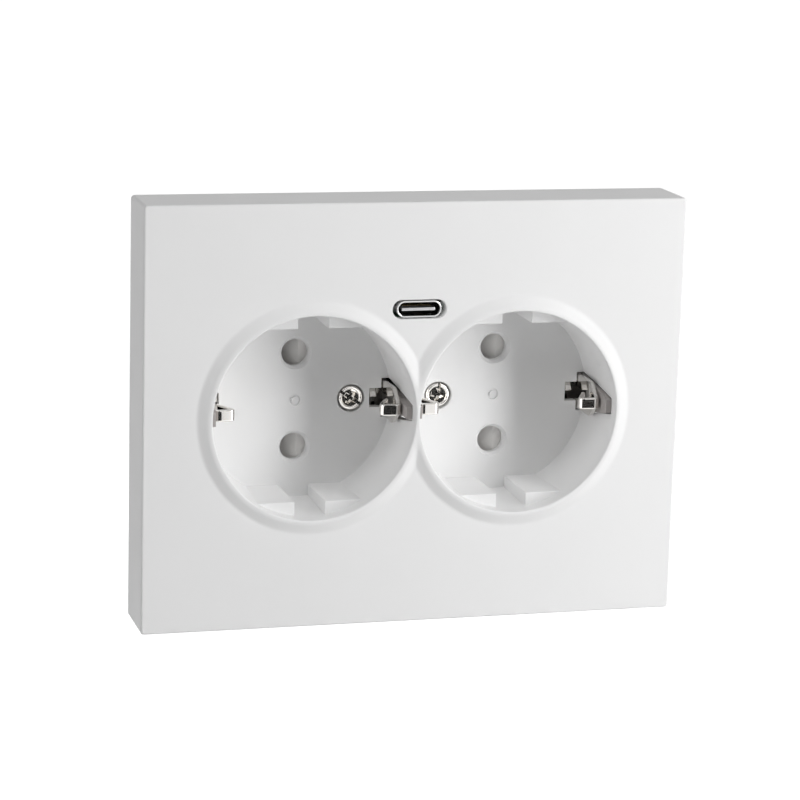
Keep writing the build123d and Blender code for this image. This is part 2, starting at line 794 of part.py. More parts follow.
# Contact bars: a strip with a spring fork at each pin, a tail with the terminal's tongue,
# and a tab that feeds the charger
for name, level in (("live_bar", 1), ("neutral_bar", -1)):
    with BuildPart() as contact_bar:
        with BuildSketch(at_depth(cavity_back_y)):
            with Locations((level * (fork_end - tail_end) / 2, level * pin_z)):
                Rectangle(fork_end + tail_end, bar_width)
            with Locations((-level * terminal_x, level * pin_z)):
                Rectangle(
                    tail_width,
                    level * pin_z - tongue_z + bar_thickness / 2,
                    align=(Align.CENTER, Align.MAX),
                )
        extrude(amount=bar_thickness)
        with BuildSketch(Plane.XY.offset(tongue_z - bar_thickness / 2)):
            with Locations((-level * terminal_x, cavity_back_y)):
                Rectangle(
                    tail_width,
                    cavity_back_y - clamp_y + clamp_depth / 2 + tongue_end,
                    align=(Align.CENTER, Align.MAX),
                )
        extrude(amount=bar_thickness)
        leaf_x = (fork_gap + bar_thickness) / 2
        lip_y = base_front_y + fork_lead
        with BuildSketch(Plane.XY.offset(level * pin_z)):
            for well_x in wells.values():
                for side in (-1, 1):
                    with BuildLine():
                        FilletPolyline(
                            (well_x + side * leaf_x, cavity_back_y - bar_thickness / 2),
                            (well_x + side * leaf_x, lip_y + fork_mouth),
                            (well_x + side * (leaf_x + fork_flare), lip_y),
                            radius=fork_bend,
                        )
                    trace(line_width=bar_thickness)
        extrude(amount=fork_width / 2, both=True)
        with BuildSketch(from_behind(cavity_back_y)):
            with Locations((level * supply_tab_x, level * pin_z)):
                Rectangle(supply_tab_width, bar_thickness)
        extrude(amount=board_back_y + supply_tab_tip - cavity_back_y)
    save(contact_bar, name)

# Push-in terminals: box cages round the tongues, each with a bent spring that holds the wire
with BuildPart() as terminal_clamps:
    with BuildSketch(at_depth(clamp_y + clamp_depth / 2)):
        with Locations(*[(x, clamp_top - clamp_height / 2) for x in terminals]):
            Rectangle(clamp_width, clamp_height)
            Rectangle(clamp_width - 2 * clamp_wall, clamp_height - 2 * clamp_wall, mode=Mode.SUBTRACT)
    extrude(amount=clamp_depth)
save(terminal_clamps, "terminal_clamps")

with BuildPart() as terminal_springs:
    spring_floor_z = clamp_bottom + clamp_wall + clamp_spring_thickness / 2
    spring_front_y = clamp_y - clamp_depth / 2 + clamp_spring_inset
    spring_back_y = clamp_y + clamp_depth / 2 - clamp_spring_inset / 2
    spring_tip_z = tongue_z - bar_thickness / 2 - clamp_spring_gap - clamp_spring_thickness / 2
    for x in terminals:
        with BuildSketch(Plane.YZ.offset(x)):
            with BuildLine():
                FilletPolyline(
                    (spring_front_y, spring_floor_z),
                    (spring_back_y, spring_floor_z),
                    (spring_front_y, spring_tip_z),
                    radius=clamp_spring_bend,
                )
            trace(line_width=clamp_spring_thickness)
        extrude(amount=clamp_spring_width / 2, both=True)
save(terminal_springs, "terminal_springs")

save_screws(
    "cover_screws",
    at_depth(floor_back_y),
    cover_screw_places,
    cover_screw_head_diameter,
    cover_screw_head_height,
    cover_screw_shank_diameter,
    cover_screw_length,
)

# Charging port: a steel shell round the insulator and its tongue, on its own board
with BuildPart() as usb_shell:
    with BuildSketch(at_depth(usb_back_y)):
        with Locations((0, usb_z)):
            SlotOverall(usb_shell_width, usb_shell_height)
            SlotOverall(
                usb_shell_width - 2 * usb_shell_wall,
                usb_shell_height - 2 * usb_shell_wall,
                mode=Mode.SUBTRACT,
            )
    extrude(amount=usb_shell_length)
save(usb_shell, "usb_shell")

with BuildPart() as usb_tongue:
    insulator_inset = 2 * (usb_shell_wall + usb_insulator_gap)
    with BuildSketch(at_depth(usb_back_y)):
        with Locations((0, usb_z)):
            SlotOverall(usb_shell_width - insulator_inset, usb_shell_height - insulator_inset)
    extrude(amount=usb_insulator_length)
    with BuildSketch(at_depth(usb_back_y)):
        with Locations((0, usb_z)):
            Rectangle(usb_tongue_width, usb_tongue_thickness)
    extrude(amount=usb_shell_length - usb_tongue_setback)
save(usb_tongue, "usb_tongue")

with BuildPart() as usb_board:
    usb_board_front_y = usb_board_setback - plate_depth
    with BuildSketch(Plane.XY.offset(usb_board_bottom)):
        with Locations((0, usb_board_front_y)):
            Rectangle(usb_board_width, board_front_y - usb_board_front_y, align=(Align.CENTER, Align.MIN))
    extrude(amount=usb_board_thickness)
save(usb_board, "usb_board")

# Charger: a board on the back of the base, with its parts under the rear cover
with BuildPart() as charger_board:
    with BuildSketch(at_depth(board_back_y)):
        with Locations((0, charger_board_middle)):
            Rectangle(charger_board_width, charger_board_height)
        with Locations(*supply_tab_places):
            Rectangle(
                supply_tab_width + 2 * supply_tab_gap,
                bar_thickness + 2 * supply_tab_gap,
                mode=Mode.SUBTRACT,
            )
    extrude(amount=charger_board_thickness)
save(charger_board, "charger_board")

core_window = (core_width - core_limb) / 2 - core_yoke
core_opening = core_height - 2 * core_yoke
with BuildPart() as transformer_core:
    with BuildSketch(from_behind(core_front_y)):
        with Locations((-core_x, core_z)):
            Rectangle(core_width, core_height)
            with GridLocations(core_limb + core_window, 0, 2, 1):
                Rectangle(core_window, core_opening, mode=Mode.SUBTRACT)
    extrude(amount=core_depth)
save(transformer_core, "transformer_core")

with BuildPart() as transformer_coil:
    coil_height = core_opening - 2 * coil_gap
    with BuildSketch(Plane.XY.offset(core_z - coil_height / 2)):
        with Locations((core_x, core_front_y + core_depth / 2)):
            RectangleRounded(
                core_limb + 2 * (core_window - coil_gap),
                core_depth + 2 * (coil_gap + coil_swell),
                coil_edge_radius,
            )
            Rectangle(core_limb + 2 * coil_gap, core_depth + 2 * coil_gap, mode=Mode.SUBTRACT)
    extrude(amount=coil_height)
save(transformer_coil, "transformer_coil")

with BuildPart() as capacitors:
    with BuildSketch(from_behind(board_back_y)):
        with Locations((-capacitor_x, capacitor_z)):
            with GridLocations(capacitor_pitch, 0, 2, 1):
                Rectangle(capacitor_width, capacitor_length)
    extrude(amount=capacitor_height)
save(capacitors, "capacitors")

with BuildPart() as choke:
    with BuildSketch(from_behind(board_back_y)):
        with Locations((-choke_x, choke_z)):
            Rectangle(choke_width, choke_length)
    extrude(amount=choke_height)
save(choke, "choke")

with BuildPart() as control_chips:
    with BuildSketch(from_behind(board_back_y)):
        with Locations((-chip_x, chip_z)):
            with GridLocations(chip_pitch, 0, 2, 1):
                Rectangle(chip_width, chip_length)
    extrude(amount=chip_height)
save(control_chips, "control_chips")

with BuildPart() as rear_cover:
    with BuildSketch(from_behind(base_back_y)):
        with Locations((0, charger_board_middle)):
            RectangleRounded(
                rear_inner_width + 2 * rear_cover_wall,
                rear_inner_height + 2 * rear_cover_wall,
                rear_cover_radius,
            )
    extrude(amount=rear_back_y - base_back_y)
    chamfer(rear_cover.faces().sort_by(Axis.Y)[-1].edges(), rear_edge)
    with BuildSketch(from_behind(base_back_y)):
        with Locations((0, charger_board_middle)):
            Rectangle(rear_inner_width, rear_inner_height)
    extrude(amount=rear_inner_y - base_back_y, mode=Mode.SUBTRACT)
save(rear_cover, "rear_cover")
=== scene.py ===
# Twin side-earth wall socket with a USB-C charging port: finishes, fine form and the photograph's view.
# Lengths are in millimetres in the frame of the solids: X to the right, Y into the wall, Z up.
import json
from math import acos, asin, atan2, cos, hypot, pi, radians, sin, sqrt, tan

import bmesh
import bpy
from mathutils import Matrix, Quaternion, Vector


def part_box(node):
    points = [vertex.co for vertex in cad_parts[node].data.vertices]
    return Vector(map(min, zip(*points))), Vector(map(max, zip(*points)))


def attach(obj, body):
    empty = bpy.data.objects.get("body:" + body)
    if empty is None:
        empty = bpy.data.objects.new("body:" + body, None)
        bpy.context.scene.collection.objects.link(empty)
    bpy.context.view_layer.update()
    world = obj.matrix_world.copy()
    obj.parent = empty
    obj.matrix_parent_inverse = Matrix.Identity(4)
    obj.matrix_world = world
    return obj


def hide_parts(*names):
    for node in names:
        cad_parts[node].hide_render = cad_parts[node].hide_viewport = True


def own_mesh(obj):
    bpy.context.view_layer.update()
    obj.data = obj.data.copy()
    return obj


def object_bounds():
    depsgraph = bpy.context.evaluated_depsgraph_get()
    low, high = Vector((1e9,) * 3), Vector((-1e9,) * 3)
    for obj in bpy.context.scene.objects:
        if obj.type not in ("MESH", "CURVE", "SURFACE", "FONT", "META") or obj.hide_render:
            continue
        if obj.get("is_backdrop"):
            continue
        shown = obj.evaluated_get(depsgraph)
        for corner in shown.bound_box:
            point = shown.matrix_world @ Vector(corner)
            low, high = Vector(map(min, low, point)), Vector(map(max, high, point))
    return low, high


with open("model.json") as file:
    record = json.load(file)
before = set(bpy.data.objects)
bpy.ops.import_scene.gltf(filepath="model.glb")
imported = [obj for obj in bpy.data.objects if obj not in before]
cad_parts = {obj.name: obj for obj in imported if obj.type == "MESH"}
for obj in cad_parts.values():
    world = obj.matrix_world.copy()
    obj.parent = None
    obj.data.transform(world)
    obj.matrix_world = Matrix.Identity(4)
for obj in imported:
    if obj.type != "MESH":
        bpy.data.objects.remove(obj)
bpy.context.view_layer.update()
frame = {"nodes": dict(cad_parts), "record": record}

mm = 0.001

# Front cover, with the sizes of its solid
plate_width = 108.0
plate_height = 83.5
plate_depth = 13.6
plate_wall = 2.2
plate_front_wall = 2.4
plate_corner_radius = 0.7
plate_back_y = plate_front_wall - plate_depth
collar_height = 1.15
crest_y = -plate_depth - collar_height
well_x = 20.5
rim_radius = 20.1
floor_radius = 19.6
floor_front_y = 2.6
floor_back_y = 4.6
drum_radius = 21.7
guide_setback = 3.3
guide_depth = 3.0
guide_slot_half = 3.025
guide_front_y = crest_y + guide_setback
guide_flat_z = rim_radius - guide_depth
pin_z = 9.5
screw_x = 9.0
boss_width = 6.2
boss_back_y = 9.95
rib_thickness = 1.2
rib_height = 5.0
rib_root = 0.5

# Fine form of the cover
plate_edge_radius = 0.45
least_corner_radius = 0.1
corner_turns = (90, 68, 45, 22, 0)
rim_fillet = 0.3
flank_slope = 0.55
crest_softness = 0.25
foot_softness = 0.2
groove_softness = 0.75
collar_spread = (collar_height + crest_softness + foot_softness) / flank_slope
floor_fillet = 0.12
guide_edge = 0.35
rib_edge = 0.1
pin_throat_radius = 2.7
pin_lip_radius = 3.3
pin_lip_depth = 0.75
screw_hole_radius = 2.8
screw_hole_lip = 0.15
mark_radius = 1.15
mark_core_radius = 0.65
mark_depth = 0.3
mark_edge = 0.1
usb_z = 20.8
usb_aperture_width = 10.75
usb_aperture_height = 3.7
port_edge = 0.25
port_edge_middle = 0.07

# Slots for the earth clips: a finger slot in the floor, and a post slot through three points in Y and Z
finger_slot_inner = 15.25
finger_slot_half = 1.95
leg_slot_inner = 17.7
post_slot = ((floor_back_y, 4.2), (-5.2, 2.85), (-12.3, 1.6))

# How far cutters and joined blocks reach past the faces that they meet
cut_reach = 1.0
slot_reach = 0.7
overrun = 0.6
overlap = 0.2
cut_front_y = floor_front_y - cut_reach
cut_back_y = floor_back_y + overrun

# Cover screws
screw_turns = {-1: radians(-33), 1: radians(80)}
head_radius = 2.45
head_floor_y = 3.12
head_rim_middle = 2.08
head_rim_half = 0.37
head_rim_rise = 0.3
head_rim_foot = 0.04
shank_radius = 1.45
shank_end_y = 15.2
shank_tip_y = 15.6
shank_tip_radius = 1.0
cross_core = 0.55
cross_half = 0.5
cross_reach = 1.5
recess_front_y = 2.4
recess_front_scale = 1.12
recess_floor_y = 4.1
recess_floor_scale = 0.62
head_slot_reach = 2.7
head_slot_half = 0.32
head_slot_depth = 0.22

# Earth clips
clip_thickness = 0.9
clip_edge = 0.28
clip_inner_bend = 0.6
clip_outer_bend = 0.75
clip_foot_bend = 0.9
clip_outer = 18.35
clip_nose = 14.65
clip_nose_y = -9.0
clip_nose_slope = 0.32
clip_nose_depth = 0.4
clip_tip = 17.0
clip_tip_y = -3.6
clip_strip_y = 10.3
finger_half = 1.15
leg_half = 3.6
strip_half = 3.2
shoulder_inset = 1.4
shoulder_y = -8.6
shoulder_length = 4.4
tab_inner = 15.45
tab_outer = 16.8
tab_front_y = 2.8
tab_shoulder_y = 3.7
tab_low = 0.1
tab_high = 1.65
tab_edge = 0.15

# Tongue of the charging port
tongue_width = 6.7
tongue_thickness = 0.7
tongue_front_y = -12.1
tip_side = 0.03
tip_half_height = 0.3
tip_drop = 0.12
tip_front = 0.6
tip_back = 0.7
tip_edge = 0.12
contact_count = 12
contact_pitch = 0.5
contact_half = 0.13
contact_height = 0.05
contact_start = 0.9
contact_end = 4.6

# Return springs of the shutters
spring_radius = 1.1
spring_wire = 0.36
spring_turns = 6
spring_closed_turns = 2

# Soft edges of the solids that show as they are
soft_edges = {
    "usb_shell": 0.08,
    "mechanism_base": 0.25,
    "support_frame": 0.12,
    "rear_cover": 0.2,
    "shutter_left": 0.15,
    "shutter_right": 0.15,
    "transformer_core": 0.2,
    "capacitors": 0.4,
    "choke": 0.3,
}

# How finely round shapes are divided
ring_segments = 160
hole_segments = 64
mark_segments = 40
drum_steps = 120
collar_steps = 20
rim_steps = 6
floor_steps = 4
plate_edge_steps = 5
port_steps = 12
post_steps = 14
guide_steps = 12
head_rim_steps = 12
clip_step = 0.3
clip_least_step = 0.02
clip_bend_turn = 6
clip_least_bend_steps = 4
clip_corner_steps = 3
coil_steps = 24
wire_sides = 8

# Joining of points, and the angles in degrees from which edges are rounded, kept sharp or dropped
weld_gap = 2e-4
rounded_from = 30
sharp_from = 35
clip_sharp_from = 12
solid_weld_gap = 1e-3
solid_flat_below = 0.5
solid_rounded_from = 40

# View of the photograph
camera_place = Vector((-153.82, -544.0, 124.12)) * mm
camera_forward = Vector((0.26639, 0.93969, -0.21454))
camera_roll = radians(1.59)
camera_lens = 131.14
camera_clip_start = 10.0
sensor_width = 36.0

# Studio
floor_z = -160.0
floor_half = 3000.0
floor_seen = 0.92
world_seen = 1.0
world_light = 0.085
high_card_x = (-330.0, 170.0)
high_card_y = -1200.0
high_card_z = (-150.0, 420.0)
low_card_radius = 640.0
low_card_start = -42.0
low_card_sweep = 60.5
low_card_steps = 16
low_card_z = (-159.0, -127.0)


# Materials


def new_material(name):
    """Material with a principled shader, and its nodes and links to add to."""
    material = bpy.data.materials.new(name)
    material.use_nodes = True
    nodes = material.node_tree.nodes
    return material, nodes, material.node_tree.links, nodes["Principled BSDF"]


def noise(nodes, links, scale, detail=3.0, stretch=(1, 1, 1)):
    """Noise in object space, with features about 1 / scale metres wide."""
    place = nodes.new("ShaderNodeTexCoord")
    mapping = nodes.new("ShaderNodeMapping")
    mapping.inputs["Scale"].default_value = stretch
    texture = nodes.new("ShaderNodeTexNoise")
    texture.inputs["Scale"].default_value = scale
    texture.inputs["Detail"].default_value = detail
    links.new(place.outputs["Object"], mapping.inputs["Vector"])
    links.new(mapping.outputs["Vector"], texture.inputs["Vector"])
    return texture.outputs["Fac"]


def ramp(nodes, links, source, low, high, start=0.3, end=0.7):
    """Colour ramp between two linear colours."""
    node = nodes.new("ShaderNodeValToRGB")
    node.color_ramp.elements[0].position = start
    node.color_ramp.elements[1].position = end
    node.color_ramp.elements[0].color = (*low, 1)
    node.color_ramp.elements[1].color = (*high, 1)
    links.new(source, node.inputs["Fac"])
    return node.outputs["Color"]


def spread(nodes, links, source, low, high):
    """Map a 0 to 1 value on to a range."""
    node = nodes.new("ShaderNodeMapRange")
    node.inputs["To Min"].default_value = low
    node.inputs["To Max"].default_value = high
    links.new(source, node.inputs["Value"])
    return node.outputs["Result"]


def uneven_gloss(nodes, links, shader, source, roughness, share):
    """Roughness that varies by that share of itself to either side."""
    gloss = spread(nodes, links, source, roughness * (1 - share), roughness * (1 + share))
    links.new(gloss, shader.inputs["Roughness"])


def relief(nodes, links, shader, source, depth):
    """Bump of that depth in metres."""
    node = nodes.new("ShaderNodeBump")
    node.inputs["Strength"].default_value = 1.0
    node.inputs["Distance"].default_value = depth
    links.new(source, node.inputs["Height"])
    links.new(node.outputs["Normal"], shader.inputs["Normal"])


def shaded(colour, share):
    """The same colour, made lighter or darker."""
    return [c * share for c in colour]


def plastic(name, colour, variation, roughness, grain=2500, grain_depth=2e-6):
    """Moulded plastic: faint cloudy colour, uneven gloss and the fine grain of the mould."""
    material, nodes, links, shader = new_material(name)
    cloud = noise(nodes, links, scale=60, detail=2)
    cloudy = ramp(nodes, links, cloud, shaded(colour, 1 - variation), shaded(colour, 1 + variation))
    links.new(cloudy, shader.inputs["Base Color"])
    uneven_gloss(nodes, links, shader, noise(nodes, links, scale=140, detail=4), roughness, share=0.15)
    relief(nodes, links, shader, noise(nodes, links, grain, detail=2), grain_depth)
    shader.inputs["Specular IOR Level"].default_value = 0.2
    return material


def metal(name, colour, roughness, stretch=(1, 1, 1), grain=900, grain_depth=1.5e-6, variation=0.06):
    """Plated or drawn metal: slight tarnish and fine lines along the working direction."""
    material, nodes, links, shader = new_material(name)
    shader.inputs["Metallic"].default_value = 1.0
    cloud = noise(nodes, links, scale=180, detail=3)
    tarnish = ramp(nodes, links, cloud, shaded(colour, 1 - variation), colour)
    links.new(tarnish, shader.inputs["Base Color"])
    lines = noise(nodes, links, grain, detail=4, stretch=stretch)
    uneven_gloss(nodes, links, shader, lines, roughness, share=0.3)
    relief(nodes, links, shader, lines, grain_depth)
    return material


def speckled(name, low, high, scale, roughness, depth=6e-6):
    """Sintered surface with fine speckles."""
    material, nodes, links, shader = new_material(name)
    dots = noise(nodes, links, scale, detail=5)
    links.new(ramp(nodes, links, dots, low, high), shader.inputs["Base Color"])
    uneven_gloss(nodes, links, shader, dots, roughness, share=0.1)
    relief(nodes, links, shader, dots, depth)
    return material


def circuit_board(name, mask, track):
    """Green solder mask over raised copper tracks."""
    material, nodes, links, shader = new_material(name)
    place = nodes.new("ShaderNodeTexCoord")
    bricks = nodes.new("ShaderNodeTexBrick")
    bricks.inputs["Scale"].default_value = 160
    bricks.inputs["Mortar Size"].default_value = 0.035
    bricks.inputs["Color1"].default_value = (*mask, 1)
    bricks.inputs["Color2"].default_value = (*shaded(mask, 0.85), 1)
    bricks.inputs["Mortar"].default_value = (*track, 1)
    turn = nodes.new("ShaderNodeMapping")
    turn.inputs["Rotation"].default_value = (radians(90), 0, 0)
    links.new(place.outputs["Object"], turn.inputs["Vector"])
    links.new(turn.outputs["Vector"], bricks.inputs["Vector"])
    links.new(bricks.outputs["Color"], shader.inputs["Base Color"])
    gloss = noise(nodes, links, scale=300)
    links.new(spread(nodes, links, gloss, low=0.25, high=0.4), shader.inputs["Roughness"])
    relief(nodes, links, shader, bricks.outputs["Fac"], depth=1e-5)
    return material


def wound_tape(name, low, high):
    """Layers of tape round a coil."""
    material, nodes, links, shader = new_material(name)
    place = nodes.new("ShaderNodeTexCoord")
    bands = nodes.new("ShaderNodeTexWave")
    bands.bands_direction = "Z"
    bands.inputs["Scale"].default_value = 120
    bands.inputs["Distortion"].default_value = 0.6
    links.new(place.outputs["Object"], bands.inputs["Vector"])
    layers = bands.outputs["Fac"]
    links.new(ramp(nodes, links, layers, low, high), shader.inputs["Base Color"])
    links.new(spread(nodes, links, layers, low=0.3, high=0.45), shader.inputs["Roughness"])
    relief(nodes, links, shader, layers, depth=2e-5)
    return material


finishes = {
    "white_shell": plastic("white_shell", (0.9, 0.9, 0.9), variation=0.006, roughness=0.4),
    "bright_nickel": metal(
        "bright_nickel", (0.80, 0.78, 0.75), roughness=0.05, stretch=(1, 1, 8), grain_depth=1e-7
    ),
    "brass": metal("brass", (0.74, 0.56, 0.28), roughness=0.28, stretch=(6, 1, 1)),
    "grey_slider": plastic("grey_slider", (0.96, 0.945, 0.92), variation=0.02, roughness=0.42),
    "grey_base": plastic("grey_base", (0.40, 0.375, 0.365), variation=0.03, roughness=0.48),
    "spring_steel": metal("spring_steel", (0.56, 0.56, 0.57), roughness=0.25),
    "steel_shell": metal("steel_shell", (0.70, 0.70, 0.70), roughness=0.18, stretch=(1, 8, 1)),
    "dark_insulator": plastic("dark_insulator", (0.018, 0.018, 0.02), variation=0.1, roughness=0.4),
    "circuit_board": circuit_board("circuit_board", mask=(0.02, 0.14, 0.06), track=(0.05, 0.24, 0.1)),
    "zinc_steel": metal(
        "zinc_steel", (0.38, 0.39, 0.40), roughness=0.45, grain=400, grain_depth=3e-6, variation=0.15
    ),
    "ferrite": speckled("ferrite", (0.03, 0.03, 0.032), (0.09, 0.09, 0.095), scale=1800, roughness=0.6),
    "coil_tape": wound_tape("coil_tape", (0.6, 0.42, 0.05), (0.75, 0.58, 0.1)),
    "capacitor_case": plastic("capacitor_case", (0.06, 0.1, 0.26), variation=0.08, roughness=0.3),
}


# Shapes


class Shape:
    """Points and faces of a mesh, gathered in millimetres."""

    def __init__(self):
        self.points = []
        self.faces = []

    def add(self, points, faces):
        start = len(self.points)
        self.points += points
        self.faces += [[start + i for i in face] for face in faces]

    def polygon(self, points):
        self.add(points, [range(len(points))])

    def strip(self, loops, closed):
        """Quads between neighbouring rows of points."""
        count = len(loops[0])
        faces = []
        for row in range(len(loops) - 1):
            here = row * count
            beyond = here + count
            for i in range(count if closed else count - 1):
                j = (i + 1) % count
                faces.append([here + i, here + j, beyond + j, beyond + i])
        self.add([point for loop in loops for point in loop], faces)

    def prism(self, outline, low, high, place):
        """Closed prism: place(u, v, depth) puts each outline point at both depths."""
        count = len(outline)
        points = [place(u, v, depth) for depth in (low, high) for u, v in outline]
        faces = [[i, (i + 1) % count, count + (i + 1) % count, count + i] for i in range(count)]
        self.add(points, faces + [range(count), range(count, 2 * count)])

    def lathe(self, profile, x, z, segments):
        """Closed solid of revolution from (radius, y) pairs, round an axis along Y."""
        turns = [2 * pi * i / segments for i in range(segments)]
        loops = [[(x + radius * cos(a), y, z + radius * sin(a)) for a in turns] for radius, y in profile]
        self.strip(loops, closed=True)
        if profile[0] != profile[-1]:
            self.polygon(loops[0])
            self.polygon(loops[-1])


def at_depth(u, v, depth):
    """Place an outline in X and Z."""
    return (u, depth, v)


def across(u, v, x):
    """Place an outline in Y and Z."""
    return (x, u, v)


def rectangle(left, low, right, high):
    """Corners of a rectangle, in order round it."""
    return [(left, low), (right, low), (right, high), (left, high)]


def turned(u, v, angle):
    """A point turned round the origin by an angle in radians."""
    return (u * cos(angle) - v * sin(angle), u * sin(angle) + v * cos(angle))


def make_object(name, shape, edge=0.0, steps=2):
    """Mesh object of a shape, with its edges rounded by that much."""
    mesh = bpy.data.meshes.new(name)
    bm = bmesh.new()
    corners = [bm.verts.new(Vector(point) * mm) for point in shape.points]
    for face in shape.faces:
        bm.faces.new([corners[i] for i in face])
    bmesh.ops.remove_doubles(bm, verts=bm.verts, dist=weld_gap * mm)
    bmesh.ops.recalc_face_normals(bm, faces=bm.faces)
    if edge:
        inner = [e for e in bm.edges if len(e.link_faces) == 2]
        bmesh.ops.bevel(
            bm,
            geom=[e for e in inner if e.calc_face_angle() > radians(rounded_from)],
            offset=edge * mm,
            segments=steps,
            profile=0.5,
            affect="EDGES",
            clamp_overlap=True,
        )
    bm.to_mesh(mesh)
    bm.free()
    obj = bpy.data.objects.new(name, mesh)
    bpy.context.collection.objects.link(obj)
    return obj


def cut(obj, *cutters):
    """Take the cutters away from a solid, one after the other."""
    for cutter in cutters:
        modifier = obj.modifiers.new("cut", "BOOLEAN")
        modifier.operation = "DIFFERENCE"
        modifier.solver = "EXACT"
        modifier.object = cutter
        depsgraph = bpy.context.evaluated_depsgraph_get()
        mesh = bpy.data.meshes.new_from_object(obj.evaluated_get(depsgraph))
        obj.modifiers.clear()
        obj.data = mesh
        bpy.data.objects.remove(cutter)


def join(obj, *others):
    """Put the others' meshes into the first one."""
    bm = bmesh.new()
    for part in (obj, *others):
        bm.from_mesh(part.data)
    bm.to_mesh(obj.data)
    bm.free()
    for part in others:
        bpy.data.objects.remove(part)


def smooth(obj, angle=sharp_from):
    """Smooth shading with sharp edges kept, and flat faces kept flat."""
    obj.data.shade_smooth()
    obj.data.set_sharp_from_angle(angle=radians(angle))
    normals = obj.modifiers.new("flat faces", "WEIGHTED_NORMAL")
    normals.keep_sharp = True
    normals.weight = 100


def dress(obj, slot, *nodes):
    """Finish a piece of the fixed housing, and hide the solids that it stands for."""
    obj.data.materials.clear()
    obj.data.materials.append(finishes[slot])
    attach(obj, "housing")
    if nodes:
        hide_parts(*nodes)


# Front cover


def soft_max(a, b, softness):
    """The larger of two heights, with a round transition where they are nearly the same."""
    blend = max(softness - abs(a - b), 0)
    return max(a, b) + (blend * blend / (4 * softness) if blend else 0)


def collar(radius):
    """Height of one collar above the plate: a rounded rim, a straight flank and a soft foot."""
    outward = radius - rim_radius - rim_fillet
    if outward < 0:
        return collar_height - rim_fillet + sqrt(max(0, rim_fillet * rim_fillet - outward * outward))
    flank = collar_height + crest_softness - flank_slope * outward
    crest = -soft_max(-collar_height, -flank, crest_softness)
    return soft_max(crest, 0, foot_softness)


def front_height(x, z):
    """Height of the plate's front where the two collars run together."""
    near = hypot(x - well_x, z)
    height = collar(near)
    if near < rim_radius + rim_fillet:
        return height
    other = collar(hypot(x + well_x, z))
    return min(collar_height, soft_max(height, other, groove_softness * sqrt(other / collar_height)))


def front_point(angle, radius):
    """Point on the front round the right well, no further than the middle of the plate."""
    if cos(angle) < 0:
        radius = min(radius, -well_x / cos(angle))
    x = max(0, well_x + radius * cos(angle))
    z = radius * sin(angle)
    return (x, -plate_depth - front_height(x, z), z)


def plate_loop(inset, y):
    """Right half of the plate's outline, from the top to the bottom."""
    half_x = plate_width / 2 - inset
    half_z = plate_height / 2 - inset
    radius = max(plate_corner_radius - inset, least_corner_radius)
    points = [(0, y, half_z)]
    for side, turns in ((1, corner_turns), (-1, [-turn for turn in reversed(corner_turns)])):
        for turn in turns:
            x = half_x - radius + radius * cos(radians(turn))
            points.append((x, y, side * (half_z - radius) + radius * sin(radians(turn))))
    return points + [(0, y, -half_z)]


def port_loop(widen, y):
    """Right half of the port's aperture, from its bottom to its top."""
    radius = usb_aperture_height / 2 + widen
    end = usb_aperture_width / 2 - usb_aperture_height / 2
    points = [(0, y, usb_z - radius)]
    for step in range(port_steps + 1):
        turn = radians(180 * step / port_steps - 90)
        points.append((end + radius * cos(turn), y, usb_z + radius * sin(turn)))
    return points + [(0, y, usb_z + radius)]


def quarter(steps):
    """Angles of a quarter turn."""
    return [radians(90 * step / steps) for step in range(steps + 1)]


def well_angles(meeting):
    """Angles round a well, with two of them where the collars' feet meet, and the place of the first."""
    angles = [2 * pi * i / ring_segments for i in range(ring_segments)]
    nearest = min(range(ring_segments), key=lambda i: abs(angles[i] - meeting))
    angles[nearest] = meeting
    angles[-nearest] = 2 * pi - meeting
    return angles, nearest


